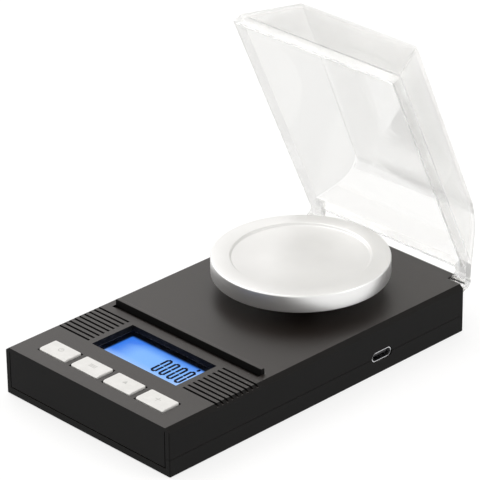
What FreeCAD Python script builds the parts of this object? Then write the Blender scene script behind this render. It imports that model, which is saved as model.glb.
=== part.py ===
"""Digital gram scale with a clear hinged hood, as a parametric FreeCAD document.

Frame: X to the right, Y to the back, Z up, in millimetres.  The origin is the centre of the case on
the surface it stands on.  Every sub-part is an object of the document and becomes one STEP file.
"""
import FreeCAD, Part
import math
import os
import re

import Sketcher

SIZES = [
    # the case
    ("body_width", 76, "outside width of the case"),
    ("body_length", 132.5, "outside length of the case"),
    ("body_height", 16.7, "case height, without the feet"),
    ("wall", 1.8, "thickness of the side walls"),
    ("deck_thickness", 2, "thickness of the deck"),
    ("floor_thickness", 2.2, "thickness of the floor"),
    ("split_height", 5.8, "height of the parting line above the case's underside"),
    ("split_gap", 0.15, "visible gap at the parting line"),
    ("corner_radius", 0.4, "rounding of the upright corners"),
    ("bevel_width", 1.75, "bevel along the long edges, measured across"),
    ("bevel_height", 1.35, "bevel along the long edges, measured down"),
    ("edge_round", 0.25, "small rounding of moulded edges"),
    ("flap_border", 1.9, "strip of side wall seen at each end of the front flap"),
    ("flap_gap", 0.35, "gap round the front flap"),
    ("flap_lift", 2.7, "lower edge of the front flap above the underside"),
    ("fit_gap", 0.15, "general clearance between assembled pieces"),
    ("thread_gap", 0.02, "clearance round a screw in its own hole"),
    ("hole_spare", 0.4, "how much deeper a blind hole is than its screw"),
    # feet and case screws
    ("foot_height", 0.4, "how far the feet stand proud"),
    ("foot_recess", 0.9, "depth of the recess a foot is glued in"),
    ("foot_radius", 4, "radius of a foot"),
    ("foot_from_side", 9, "foot centre from the side"),
    ("foot_from_end", 18, "foot centre from the end"),
    ("boss_from_side", 5, "case screw from the side"),
    ("boss_from_end", 8.2, "case screw from the end"),
    ("boss_radius", 2.8, "radius of a screw boss"),
    ("case_screw_radius", 1.1, "shank radius of a case screw"),
    ("case_head_radius", 2.1, "head radius of a case screw"),
    ("case_head_height", 1.4, "head height of a case screw"),
    ("case_head_sink", 2.4, "depth of the counterbore over a case screw"),
    ("case_screw_length", 9, "shank length of a case screw"),
    # lip, ribs, display window and keys
    ("lip_from_front", 43.55, "front face of the lip from the case's front"),
    ("lip_thickness", 1.35, "thickness of the lip"),
    ("lip_height", 2, "height of the lip above the deck"),
    ("lip_from_side", 4.35, "end of the lip from the side"),
    ("groove_width", 1.7, "groove in front of the lip"),
    ("groove_depth", 0.9, "depth of that groove"),
    ("window_width", 38.9, "display window, across"),
    ("window_length", 17.6, "display window, front to back"),
    ("window_from_front", 29.15, "window centre from the front"),
    ("rib_count", 9, "grooves in each block"),
    ("rib_pitch", 2.13, "spacing of the grooves"),
    ("rib_width", 0.85, "width of a groove"),
    ("rib_depth", 0.9, "depth of a groove"),
    ("rib_from_window", 2.3, "inner end of the grooves from the window"),
    ("rib_shift", 0.65, "middle of the block behind the window's middle"),
    ("key_width", 12.2, "key cap, across"),
    ("key_length", 7.1, "key cap, front to back"),
    ("key_pitch", 15, "spacing of the keys"),
    ("key_from_front", 9.65, "key centre from the front"),
    ("key_proud", 0.55, "key top above the deck"),
    ("key_bevel_length", 1.1, "bevel along a key's front edge, along"),
    ("key_bevel_drop", 0.45, "bevel along a key's front edge, down"),
    ("key_slit", 0.45, "gap round a key"),
    ("key_flange", 0.85, "how far the flange reaches under the deck"),
    ("key_flange_thickness", 0.8, "thickness of the flange"),
    ("key_play", 0.05, "gap between flange and deck"),
    ("key_stem_radius", 1.5, "radius of the stem under a key"),
    # display
    ("glass_width", 45, "display glass, across"),
    ("glass_length", 23.6, "display glass, front to back"),
    ("glass_thickness", 1.1, "one sheet of display glass"),
    ("gasket_thickness", 0.5, "foam gasket under the window"),
    ("gasket_width", 1.8, "width of the gasket's band"),
    ("backlight_thickness", 3.4, "light guide under the glass"),
    ("strip_width", 2, "rubber contact strip"),
    ("frame_wall", 0.9, "wall of the display frame"),
    # main board and switches
    ("board_thickness", 1.6, "main board"),
    ("board_width", 58, "main board, across"),
    ("board_length", 39.6, "main board, front to back"),
    ("post_radius", 2.1, "radius of a board post"),
    ("post_side", 15, "front posts from the middle"),
    ("post_back_side", 26.3, "rear posts from the middle"),
    ("post_from_edge", 3, "posts from the board's front and rear edges"),
    ("small_screw_radius", 0.9, "shank radius of a board screw"),
    ("small_head_radius", 1.7, "head radius of a board screw"),
    ("small_head_height", 1.1, "head height of a board screw"),
    ("small_screw_length", 5, "shank length of a board screw"),
    ("switch_side", 6, "switch housing, square"),
    ("switch_body_height", 3.4, "switch housing"),
    ("switch_height", 5, "switch plunger's top above the board"),
    ("plunger_radius", 1.6, "switch plunger"),
    ("plunger_gap", 0.08, "running clearance round a plunger"),
    ("plunger_length", 3, "switch plunger"),
    ("dome_thickness", 0.25, "snap dome"),
    ("dome_gap", 0.2, "clearance round a snap dome"),
    ("switch_base", 0.8, "floor of a switch housing"),
    ("controller_side", 10, "controller chip, square"),
    ("controller_thickness", 1.4, "controller chip"),
    ("controller_x", -6, "controller chip, across"),
    ("converter_width", 6.2, "converter chip"),
    ("converter_length", 5, "converter chip"),
    ("converter_thickness", 1.6, "converter chip"),
    ("crystal_width", 3.2, "clock crystal"),
    ("crystal_length", 8, "clock crystal"),
    ("crystal_thickness", 2.2, "clock crystal"),
    ("small_parts_x", 8, "converter and crystal, across"),
    ("converter_shift", 4, "converter behind the window's middle"),
    ("crystal_shift", 6, "crystal ahead of the window's middle"),
    # hinge and hood
    ("hinge_setback", 3.55, "hinge axis behind the case"),
    ("hinge_radius", 1.25, "radius of the hinge bar"),
    ("pin_radius", 0.6, "hinge pin"),
    ("pin_gap", 0.05, "running clearance round the pin"),
    ("open_angle", 65.8, "how far the hood stands open, in degrees"),
    ("lid_side_inset", 2.2, "hood's side behind the case's side"),
    ("lid_rear_inset", 0.85, "hood's rear wall ahead of the case's rear"),
    ("lid_gap", 0.3, "gap between the lip and the closed hood"),
    ("rim_gap", 0.2, "gap between the deck and the closed hood's rim"),
    ("lid_wall", 1.1, "thickness of the hood"),
    ("lid_round", 0.5, "rounding of the hood's outer edges"),
    ("lid_height", 20.9, "height of the hood"),
    ("lid_band", 3.5, "straight band along the rim"),
    ("lid_side_taper", 10.1, "how far each side leans in"),
    ("lid_front_taper", 6.45, "how far the front leans in"),
    ("lid_rear_taper", 4.2, "how far the rear leans in"),
    ("lid_rear_drop", 1.3, "how much lower the hood's top is at the rear"),
    ("lid_rear_round", 13, "rounding of the hood's rear edge"),
    ("ear_width", 4.8, "width of a hinge ear"),
    ("ear_radius", 2.3, "round end of a hinge ear"),
    ("ear_gap", 0.3, "gap between an ear and the hinge bar"),
    ("ear_root", 2.9, "lower corner of an ear's web ahead of the pin"),
    ("heel_reach", 3.8, "corner of the ear that stops the hood"),
    ("heel_angle", 59, "where that corner stands on the closed hood, in degrees below level"),
    # pan and post
    ("pan_radius", 29.6, "weighing pan"),
    ("pan_height", 6, "weighing pan"),
    ("pan_wall", 1, "thickness of the pan"),
    ("pan_from_rear", 37.55, "pan centre from the case's rear"),
    ("pan_lift_height", 5.6, "gap between the deck and the pan"),
    ("pan_round", 0.4, "rounding of the pan's top edge"),
    ("dish_radius", 23.5, "edge of the dish"),
    ("dish_depth", 0.7, "depth of the dish"),
    ("dish_slope", 1, "width of the dish's sloping edge"),
    ("plate_radius", 13, "plate on the post"),
    ("plate_thickness", 1.6, "plate on the post"),
    ("ring_gap", 0.2, "gap between the plate and the pan's locating ring"),
    ("ring_wall", 1, "locating ring under the pan"),
    ("ring_height", 1.4, "locating ring under the pan"),
    ("post_shaft_radius", 4, "weighing post"),
    ("post_hole_gap", 1, "gap round the post in the deck"),
    ("post_foot_radius", 5.5, "foot of the post"),
    ("post_foot_height", 1.5, "foot of the post"),
    ("post_flare", 2, "cone under the plate"),
    # load cell
    ("cell_length", 47, "load cell"),
    ("cell_width", 9, "load cell"),
    ("cell_height", 6, "load cell"),
    ("cell_lift", 3, "load cell above the floor"),
    ("cell_overhang", 5.5, "free end beyond the post"),
    ("cell_seat", 12, "length of the seat under the fixed end"),
    ("cell_hole_radius", 2.2, "round ends of the flexure hole"),
    ("cell_hole_pitch", 11, "distance between them"),
    ("cell_screw_radius", 1.2, "load cell screw"),
    ("cell_head_radius", 2.1, "load cell screw"),
    ("cell_head_height", 1.5, "load cell screw"),
    ("cell_screw_length", 8, "load cell screw"),
    ("gauge_length", 5, "strain gauge"),
    ("gauge_width", 3.4, "strain gauge"),
    ("gauge_thickness", 0.15, "strain gauge"),
    ("overload_gap", 0.5, "what the free end may sink"),
    ("overload_radius", 1.5, "overload screw"),
    ("overload_from_post", 5.8, "overload screw ahead of the post"),
    # charging socket and battery
    ("usb_from_rear", 38.75, "socket from the case's rear"),
    ("usb_height", 6, "socket centre above the underside"),
    ("usb_width", 8.94, "socket shell"),
    ("usb_thickness", 3.26, "socket shell"),
    ("usb_wall", 0.3, "socket shell"),
    ("usb_length", 7.3, "socket shell"),
    ("usb_recess", 0.35, "mouth of the socket behind the case's side"),
    ("usb_gap", 0.2, "slot in the case round the socket"),
    ("tongue_width", 6.7, "socket tongue"),
    ("tongue_thickness", 0.7, "socket tongue"),
    ("tongue_recess", 1.2, "tip of the tongue behind the socket's mouth"),
    ("usb_back_wall", 0.8, "closed end of the socket"),
    ("charge_board_width", 14, "charging board, from the side inwards"),
    ("charge_board_length", 16, "charging board, front to back"),
    ("charge_board_thickness", 1, "charging board"),
    ("charge_seat_inset", 1, "seat under the charging board, inside its edge"),
    ("charge_chip_width", 3, "charging chip"),
    ("charge_chip_length", 4, "charging chip"),
    ("charge_chip_thickness", 1.2, "charging chip"),
    ("battery_width", 22, "flat battery cell"),
    ("battery_length", 40, "flat battery cell"),
    ("battery_thickness", 5, "flat battery cell"),
    ("battery_round", 1.5, "rounded long edges of the battery"),
    ("battery_from_middle", 10, "battery's near side from the middle"),
    ("battery_pad_thickness", 0.8, "foam tape under the battery"),
    ("battery_pad_inset", 3.5, "foam tape inside the battery's edge"),
    ("battery_ahead", 6, "battery's middle ahead of the pan's centre"),
    ("lead_radius", 0.45, "insulated wire"),
    ("lead_bend", 2.5, "bend radius of a wire"),
    ("lead_gap", 0.1, "gap between neighbouring wires"),
    ("lead_entry", 4, "how far a wire runs in under the main board"),
    ("lead_level", 1.5, "where a wire levels out behind the main board"),
    ("lead_drop", 8, "where a wire starts to climb to the main board"),
    ("lead_clear", 4.7, "wires beside the load cell"),
    ("lead_below_top", 1.2, "wires below the load cell's top"),
    ("lead_from_post", 4, "charging wires beside the board's rear post"),
]

# Levels and places that several pieces share, as expressions of the sizes above.
BASE = "foot_height"
DECK = "(foot_height + body_height)"
CEILING = f"({DECK} - deck_thickness)"
FLOOR = "(foot_height + floor_thickness)"
SPLIT = "(foot_height + split_height)"
SIDE = "(body_width / 2)"
INSIDE = "(body_width / 2 - wall)"
REAR = "(body_length / 2)"
FRONT = "(-body_length / 2)"

KEY_Y = f"({FRONT} + key_from_front)"
WINDOW_Y = f"({FRONT} + window_from_front)"
LIP_Y = f"({FRONT} + lip_from_front)"
PAN_Y = f"({REAR} - pan_from_rear)"
USB_Y = f"({REAR} - usb_from_rear)"
USB_Z = f"({BASE} + usb_height)"

GLASS_TOP = f"({CEILING} - gasket_thickness)"
GLASS_MIDDLE = f"({GLASS_TOP} - glass_thickness)"
GLASS_BOTTOM = f"({GLASS_MIDDLE} - glass_thickness)"
BOARD_TOP = f"({GLASS_BOTTOM} - backlight_thickness)"
BOARD_BOTTOM = f"({BOARD_TOP} - board_thickness)"
BOARD_FRONT = f"({FRONT} + wall + 4 * fit_gap)"
BOARD_REAR = f"({BOARD_FRONT} + board_length)"

HINGE_Y = f"({REAR} + hinge_setback)"
HINGE_Z = f"({DECK} - hinge_radius)"
LID_REACH = f"({HINGE_Y} - {LIP_Y} - lip_thickness - lid_gap)"
LID_HALF = "(body_width / 2 - lid_side_inset)"
LID_BACK = "(hinge_setback + lid_rear_inset)"
RIM = "(hinge_radius + rim_gap)"
EAR_INNER = f"({LID_HALF} - ear_width)"
BAR_HALF = f"({EAR_INNER} - ear_gap)"

PAN_BOTTOM = f"({DECK} + pan_lift_height)"
PAN_TOP = f"({PAN_BOTTOM} + pan_height)"
PLATE_TOP = f"({PAN_TOP} - dish_depth - pan_wall)"

CELL_BOTTOM = f"({FLOOR} + cell_lift)"
CELL_TOP = f"({CELL_BOTTOM} + cell_height)"
CELL_REAR = f"({PAN_Y} + cell_overhang)"
CELL_FRONT = f"({CELL_REAR} - cell_length)"
CELL_MIDDLE = f"(({CELL_FRONT} + {CELL_REAR}) / 2)"
CELL_HOLES = [f"({CELL_FRONT} + cell_seat / 4)", f"({CELL_FRONT} + 3 * cell_seat / 4)"]
OVERLOAD_Y = f"({PAN_Y} - overload_from_post)"

BATTERY_X = "(-battery_from_middle - battery_width / 2)"
BATTERY_Y = f"({PAN_Y} - battery_ahead)"
CHARGE_TOP = f"({USB_Z} - usb_thickness / 2)"
CHARGE_BOTTOM = f"({CHARGE_TOP} - charge_board_thickness)"
CHARGE_OUTER = f"({INSIDE} - 2 * fit_gap)"
CHARGE_INNER = f"({CHARGE_OUTER} - charge_board_width)"

KEYS = {number: f"(({number} - 2.5) * key_pitch)" for number in (1, 2, 3, 4)}
BOSSES = [(f"({sx} * ({SIDE} - boss_from_side))", f"({sy} * ({REAR} - boss_from_end))")
          for sx in (-1, 1) for sy in (-1, 1)]
FEET = [(f"({sx} * ({SIDE} - foot_from_side))", f"({sy} * ({REAR} - foot_from_end))")
        for sx in (-1, 1) for sy in (-1, 1)]
POSTS = ([(f"({sx} * post_side)", f"({BOARD_FRONT} + post_from_edge)") for sx in (-1, 1)]
         + [(f"({sx} * post_back_side)", f"({BOARD_REAR} - post_from_edge)") for sx in (-1, 1)])

PAST = 1              # how far a cutting tool runs past the face it cuts
ROOT = 0.5            # how far a boss reaches into the wall it grows from
RECESS_DEPTH = 0.55   # cross recess of a screw, as a share of the head's height
RECESS_REACH = 0.62   # and of its radius: half the cross's span
RECESS_HALF = 0.14    # and half the width of one arm

doc = FreeCAD.newDocument("gram_scale")
sheet = doc.addObject("Spreadsheet::Sheet", "Sizes")
for row, (alias, value, meaning) in enumerate(SIZES, 1):
    sheet.set(f"A{row}", meaning)
    sheet.set(f"B{row}", str(value))
    sheet.setAlias(f"B{row}", alias)
doc.recompute()

ALIASES = {alias for alias, _, _ in SIZES}
nodes = {}


# ------------------------------------------------------------------ helpers: expressions

def sized(expression):
    """The expression with each size looked up in the sheet."""
    def look_up(word):
        return "Sizes." + word.group() if word.group() in ALIASES else word.group()
    return re.sub(r"[a-z_]+", look_up, str(expression))


def number(expression):
    """What the expression comes to now."""
    return float(sheet.evalExpression(str(expression)))


def bind(thing, **expressions):
    """Tie properties to expressions; a double underscore stands for the dot in a property's path."""
    for name, expression in expressions.items():
        thing.setExpression(name.replace("__", "."), sized(expression))


# ------------------------------------------------------------------ helpers: primitives and booleans

def block(name, x, y, z):
    """A box between two planes along each axis, each pair given as expressions."""
    box = doc.addObject("Part::Box", name)
    for size, base, (low, high) in (("Length", "x", x), ("Width", "y", y), ("Height", "z", z)):
        bind(box, **{size: f"({high}) - ({low})", "Placement__Base__" + base: low})
    return box


def middle_block(name, centre, width, y, z):
    """A box centred on one X, as wide as given."""
    return block(name, (f"{centre} - ({width}) / 2", f"{centre} + ({width}) / 2"), y, z)


def rod(name, x, y, z, radius):
    """An upright cylinder between two levels."""
    cylinder = doc.addObject("Part::Cylinder", name)
    bind(cylinder, Radius=radius, Height=f"({z[1]}) - ({z[0]})",
         Placement__Base__x=x, Placement__Base__y=y, Placement__Base__z=z[0])
    return cylinder


def fuse(name, *shapes):
    joined = doc.addObject("Part::MultiFuse", name)
    joined.Shapes = list(shapes)
    return joined


def cut(name, base, *tools):
    """The base less the tools."""
    result = doc.addObject("Part::Cut", name)
    result.Base = base
    result.Tool = tools[0] if len(tools) == 1 else fuse(name + "_tools", *tools)
    return result


def group(name, members):
    """Separate solids that share one node."""
    compound = doc.addObject("Part::Compound", name)
    compound.Links = list(members)
    return compound


def screw(name, x, y, head, shank, head_radius, shank_radius):
    """A screw with a cross recess.  The head runs from its seat to its crown, either way up."""
    seat, crown = head
    up = number(crown) > number(seat)
    low, high = (seat, crown) if up else (crown, seat)
    body = fuse(name + "_blank", rod(name + "_head", x, y, (low, high), head_radius),
                rod(name + "_shank", x, y, shank, shank_radius))
    depth = f"{RECESS_DEPTH} * (({high}) - ({low}))"
    bite = ((f"{crown} - {depth}", f"{crown} + {PAST}") if up
            else (f"{crown} - {PAST}", f"{crown} + {depth}"))
    reach, half = f"{RECESS_REACH} * {head_radius}", f"{RECESS_HALF} * {head_radius}"
    along = block(name + "_slot_a", (f"{x} - {reach}", f"{x} + {reach}"),
                  (f"{y} - {half}", f"{y} + {half}"), bite)
    across = block(name + "_slot_b", (f"{x} - {half}", f"{x} + {half}"),
                   (f"{y} - {reach}", f"{y} + {reach}"), bite)
    return cut(name, body, along, across)


# ------------------------------------------------------------------ helpers: PartDesign

def new_body(name):
    return doc.addObject("PartDesign::Body", name)


def plane(body, role):
    return next(feature for feature in body.Origin.OriginFeatures if feature.Role == role)


def new_sketch(body, role, offset="0"):
    """A sketch on one of the body's own origin planes, moved along that plane's normal."""
    sketch = body.newObject("Sketcher::SketchObject", body.Name + "_sketch")
    sketch.AttachmentSupport = [(plane(body, role), "")]
    sketch.MapMode = "FlatFace"
    bind(sketch, AttachmentOffset__Base__z=offset)
    return sketch


def pin(sketch, kind, geometry, point, expression):
    """One driving dimension from the sketch's origin, tied to its expression."""
    constraint = sketch.addConstraint(
        Sketcher.Constraint(kind, -1, 1, geometry, point, number(expression)))
    sketch.setExpression(f"Constraints[{constraint}]", sized(expression))


def outline(sketch, points):
    """A closed outline of straight lines through points given as pairs of expressions."""
    first = sketch.GeometryCount
    count = len(points)
    places = [FreeCAD.Vector(number(x), number(y), 0) for x, y in points]
    for index, place in enumerate(places):
        sketch.addGeometry(Part.LineSegment(place, places[(index + 1) % count]), False)
    for index in range(count):
        sketch.addConstraint(
            Sketcher.Constraint("Coincident", first + index, 2, first + (index + 1) % count, 1))
    for index, (x, y) in enumerate(points):
        pin(sketch, "DistanceX", first + index, 1, x)
        pin(sketch, "DistanceY", first + index, 1, y)


def rectangle(sketch, x, y):
    outline(sketch, [(x[0], y[0]), (x[1], y[0]), (x[1], y[1]), (x[0], y[1])])


def circle(sketch, x, y, radius):
    centre = FreeCAD.Vector(number(x), number(y), 0)
    index = sketch.addGeometry(
        Part.Circle(centre, FreeCAD.Vector(0, 0, 1), number(radius)), False)
    pin(sketch, "DistanceX", index, 3, x)
    pin(sketch, "DistanceY", index, 3, y)
    constraint = sketch.addConstraint(Sketcher.Constraint("Radius", index, number(radius)))
    sketch.setExpression(f"Constraints[{constraint}]", sized(radius))


def stadium(sketch, x, y, width, height):
    """A slot with round ends, as wide as given overall."""
    rise = number(height) / 2
    run = number(f"({width} - {height}) / 2")
    cx, cy = number(x), number(y)
    up = FreeCAD.Vector(0, 0, 1)
    arcs = []
    for side, start in ((1, -math.pi / 2), (-1, math.pi / 2)):
        ring = Part.Circle(FreeCAD.Vector(cx + side * run, cy, 0), up, rise)
        arcs.append(sketch.addGeometry(Part.ArcOfCircle(ring, start, start + math.pi), False))
    right, left = arcs
    for arc, side in ((right, "+"), (left, "-")):
        centre = f"{x} {side} ({width} - {height}) / 2"
        pin(sketch, "DistanceX", arc, 3, centre)
        pin(sketch, "DistanceY", arc, 3, y)
        pin(sketch, "DistanceX", arc, 1, centre)
        pin(sketch, "DistanceX", arc, 2, centre)
        constraint = sketch.addConstraint(Sketcher.Constraint("Radius", arc, rise))
        sketch.setExpression(f"Constraints[{constraint}]", sized(f"{height} / 2"))
    for level, ends in ((rise, ((right, 2), (left, 1))), (-rise, ((left, 2), (right, 1)))):
        along = run if level > 0 else -run
        line = sketch.addGeometry(Part.LineSegment(
            FreeCAD.Vector(cx + along, cy + level, 0),
            FreeCAD.Vector(cx - along, cy + level, 0)), False)
        for point, (arc, end) in enumerate(ends, 1):
            sketch.addConstraint(Sketcher.Constraint("Coincident", line, point, arc, end))


def extrude(body, kind, sketch, length, both_ways, backwards):
    feature = body.newObject("PartDesign::" + kind, body.Name + "_" + kind.lower())
    feature.Profile = sketch
    feature.SideType = "Symmetric" if both_ways else "One side"
    feature.Reversed = backwards
    bind(feature, Length=length)
    before = body.Shape.Volume if body.Shape and not body.Shape.isNull() else 0.0
    doc.recompute()
    after = body.Shape.Volume
    gained = after > before + 1e-6 if kind == "Pad" else after < before - 1e-6
    if not gained:
        raise RuntimeError(f"{feature.Name} changes nothing in {body.Name}")
    return feature


def pad(body, sketch, length, both_ways=False, backwards=False):
    """Material along the sketch's normal."""
    return extrude(body, "Pad", sketch, length, both_ways, backwards)


def pocket(body, sketch, length, both_ways=False, backwards=False):
    """Material taken away against the sketch's normal, or along it when backwards."""
    return extrude(body, "Pocket", sketch, length, both_ways, backwards)


def slab(body, x, y, z):
    """Add a box to a body: a rectangle on a level, padded upwards."""
    sketch = new_sketch(body, "XY_Plane", z[0])
    rectangle(sketch, x, y)
    return pad(body, sketch, f"({z[1]}) - ({z[0]})")


def carve(body, x, y, z):
    """Take a box out of a body, upwards from the lower level."""
    sketch = new_sketch(body, "XY_Plane", z[0])
    rectangle(sketch, x, y)
    return pocket(body, sketch, f"({z[1]}) - ({z[0]})", backwards=True)


def discs(body, places, radius, z):
    """Add upright cylinders at several places."""
    sketch = new_sketch(body, "XY_Plane", z[0])
    for x, y in places:
        circle(sketch, x, y, radius)
    return pad(body, sketch, f"({z[1]}) - ({z[0]})")


def drill(body, places, radius, z):
    """Bore upright holes at several places."""
    sketch = new_sketch(body, "XY_Plane", z[0])
    for x, y in places:
        circle(sketch, x, y, radius)
    return pocket(body, sketch, f"({z[1]}) - ({z[0]})", backwards=True)


def dress(body, kind, test, **expressions):
    """Round or bevel the edges of the body for which the test holds."""
    base = body.Tip
    names = [f"Edge{index}" for index, edge in enumerate(base.Shape.Edges, 1) if test(edge)]
    if not names:
        raise RuntimeError(f"no edge of {body.Name} to dress")
    feature = body.newObject("PartDesign::" + kind, body.Name + "_" + kind.lower())
    feature.Base = (base, names)
    bind(feature, **expressions)
    doc.recompute()
    return feature


def turned(body, sketch):
    """A full turn of the sketch about its own upright axis."""
    feature = body.newObject("PartDesign::Revolution", body.Name + "_turned")
    feature.Profile = sketch
    feature.ReferenceAxis = (sketch, ["V_Axis"])
    feature.Angle = 360
    doc.recompute()
    return feature


def near(value, expression, slack=0.02):
    return abs(value - number(expression)) < slack


def upright(edge):
    """A straight edge that runs along Z."""
    run = edge.Vertexes[-1].Point - edge.Vertexes[0].Point
    return len(edge.Vertexes) == 2 and abs(run.z) > 0.999 * max(run.Length, 1e-9)


def keep(name, piece):
    """Register a finished sub-part under the name of its node."""
    piece.Label = name
    nodes[name] = piece


# ------------------------------------------------------------------ case

def at_corner(edge):
    box = edge.BoundBox
    return (upright(edge) and near(abs(box.XMin), SIDE) and near(abs(box.YMin), REAR))


def make_bottom_cover():
    """Tray with a low front wall, where the deck's flap comes down in front."""
    body = new_body("bottom_cover")
    slab(body, (f"-{SIDE}", SIDE), (FRONT, REAR), (BASE, SPLIT))
    dress(body, "Fillet", at_corner, Radius="corner_radius")
    carve(body, (f"-{INSIDE}", INSIDE), (f"{FRONT} + wall", f"{REAR} - wall"), (FLOOR, SPLIT))
    flap_side = f"({SIDE} - flap_border)"
    carve(body, (f"-{flap_side}", flap_side), (f"{FRONT} - {PAST}", f"{FRONT} + wall"),
          (f"{BASE} + flap_lift - flap_gap", SPLIT))
    # seats and posts that stand on the floor
    discs(body, BOSSES, "boss_radius + 4 * fit_gap", (f"{FLOOR} - {ROOT}", SPLIT))
    discs(body, POSTS, "post_radius", (f"{FLOOR} - {ROOT}", BOARD_BOTTOM))
    slab(body, ("-cell_width / 2 - wall", "cell_width / 2 + wall"),
         (CELL_FRONT, f"{CELL_FRONT} + cell_seat"), (f"{FLOOR} - {ROOT}", CELL_BOTTOM))
    discs(body, [("0", OVERLOAD_Y)], "overload_radius + wall",
          (f"{FLOOR} - {ROOT}", f"{CELL_BOTTOM} - 2 * overload_gap"))
    half_seat = "(charge_board_length / 2 - charge_seat_inset)"
    slab(body, (f"{CHARGE_INNER} + charge_seat_inset", f"{CHARGE_OUTER} - 3 * charge_seat_inset"),
         (f"{USB_Y} - {half_seat}", f"{USB_Y} + {half_seat}"),
         (f"{FLOOR} - {ROOT}", CHARGE_BOTTOM))
    # holes
    drill(body, BOSSES, "case_screw_radius + fit_gap", (f"{BASE} - {PAST}", f"{SPLIT} + {PAST}"))
    drill(body, BOSSES, "case_head_radius + 2 * fit_gap", (f"{BASE} - {PAST}", f"{BASE} + case_head_sink"))
    drill(body, FEET, "foot_radius + fit_gap", (f"{BASE} - {PAST}", f"{BASE} + foot_recess"))
    drill(body, POSTS, "small_screw_radius + thread_gap",
          (f"{BOARD_TOP} - small_screw_length - hole_spare", f"{BOARD_BOTTOM} + {PAST}"))
    drill(body, [("0", place) for place in CELL_HOLES], "cell_screw_radius + thread_gap",
          (f"{CELL_TOP} - cell_screw_length - hole_spare", f"{CELL_BOTTOM} + {PAST}"))
    drill(body, [("0", OVERLOAD_Y)], "overload_radius + thread_gap",
          (f"{BASE} - {PAST}", CELL_BOTTOM))
    slot_for_socket(body)
    keep("bottom_cover", body)


def slot_for_socket(body):
    """Round-ended slot through the right side wall, for the charging plug."""
    sketch = new_sketch(body, "YZ_Plane", f"{INSIDE} - {ROOT}")
    stadium(sketch, USB_Y, USB_Z, "(usb_width + 2 * usb_gap)", "(usb_thickness + 2 * usb_gap)")
    pocket(body, sketch, f"wall + 2 * {PAST}", backwards=True)


def make_top_cover():
    """Deck with skirts all round, drawn as the front view with its two bevels."""
    body = new_body("top_cover")
    skirt = f"({SPLIT} + split_gap)"
    sketch = new_sketch(body, "XZ_Plane")
    outline(sketch, [(f"-{SIDE}", skirt), (SIDE, skirt),
                     (SIDE, f"{DECK} - bevel_height"), (f"{SIDE} - bevel_width", DECK),
                     (f"-{SIDE} + bevel_width", DECK), (f"-{SIDE}", f"{DECK} - bevel_height")])
    pad(body, sketch, "body_length", both_ways=True)
    dress(body, "Fillet", at_corner, Radius="corner_radius")
    carve(body, (f"-{INSIDE}", INSIDE), (f"{FRONT} + wall", f"{REAR} - wall"), (skirt, CEILING))
    add_flap(body, skirt)
    add_hinge_bar(body)
    cut_window_and_keys(body)
    cut_ribs(body)
    add_lip(body)
    discs(body, BOSSES, "boss_radius", (f"{SPLIT} + 2 * split_gap", f"{CEILING} + {ROOT}"))
    drill(body, BOSSES, "case_screw_radius + thread_gap", (SPLIT, f"{CEILING} - {PAST}"))
    drill(body, [("0", PAN_Y)], "post_shaft_radius + post_hole_gap",
          (f"{CEILING} - {PAST}", f"{DECK} + {PAST}"))
    slot_for_socket(body)
    keep("top_cover", body)


def add_flap(body, skirt):
    """The front wall hangs lower than the skirts, between two upright gaps."""
    gap_inner = f"({SIDE} - flap_border - flap_gap)"
    slab(body, (f"-{gap_inner}", gap_inner), (FRONT, f"{FRONT} + wall"),
         (f"{BASE} + flap_lift", f"{skirt} + {PAST}"))
    for low, high in ((gap_inner, f"{SIDE} - flap_border"), (f"-{SIDE} + flap_border", f"-{gap_inner}")):
        carve(body, (low, high), (f"{FRONT} - {PAST}", f"{FRONT} + wall"),
              (f"{BASE} + flap_lift - {PAST}", f"{DECK} - bevel_height"))


def add_hinge_bar(body):
    """Round-backed bar behind the rear wall, flush with the deck and bored for the pin."""
    low = f"({HINGE_Z} - hinge_radius)"
    sketch = new_sketch(body, "YZ_Plane")
    rectangle(sketch, (f"{REAR} - wall / 2", HINGE_Y), (low, DECK))
    pad(body, sketch, f"2 * {BAR_HALF}", both_ways=True)
    sketch = new_sketch(body, "YZ_Plane")
    circle(sketch, HINGE_Y, HINGE_Z, "hinge_radius")
    pad(body, sketch, f"2 * {BAR_HALF}", both_ways=True)
    sketch = new_sketch(body, "YZ_Plane")
    circle(sketch, HINGE_Y, HINGE_Z, "pin_radius + pin_gap")
    pocket(body, sketch, "body_width", both_ways=True)


def cut_window_and_keys(body):
    """Display window and four key openings through the deck."""
    through = (f"{CEILING} - {PAST}", f"{DECK} + {PAST}")
    carve(body, ("-window_width / 2", "window_width / 2"),
          (f"{WINDOW_Y} - window_length / 2", f"{WINDOW_Y} + window_length / 2"), through)
    for x in KEYS.values():
        half = "(key_width / 2 + key_slit)"
        carve(body, (f"{x} - {half}", f"{x} + {half}"),
              (f"{KEY_Y} - key_length / 2 - key_slit", f"{KEY_Y} + key_length / 2 + key_slit"), through)


def cut_ribs(body):
    """A groove each side of the window, running out over the bevel, repeated along Y."""
    first = f"({WINDOW_Y} + rib_shift - (rib_count - 1) * rib_pitch / 2)"
    inner = "(window_width / 2 + rib_from_window)"
    sketch = new_sketch(body, "XY_Plane", f"{DECK} - rib_depth")
    for low, high in ((inner, f"{SIDE} + {PAST}"), (f"-{SIDE} - {PAST}", f"-{inner}")):
        rectangle(sketch, (low, high), (f"{first} - rib_width / 2", f"{first} + rib_width / 2"))
    groove = pocket(body, sketch, f"rib_depth + {PAST}", backwards=True)
    before = body.Shape.Volume
    pattern = body.newObject("PartDesign::LinearPattern", "rib_pattern")
    pattern.Originals = [groove]
    pattern.Direction = (sketch, ["V_Axis"])
    pattern.Mode = "Extent"
    bind(pattern, Length="(rib_count - 1) * rib_pitch", Occurrences="rib_count")
    body.Tip = pattern
    doc.recompute()
    if body.Shape.Volume > before - PAST:
        raise RuntimeError("the rib pattern cuts nothing")


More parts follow.
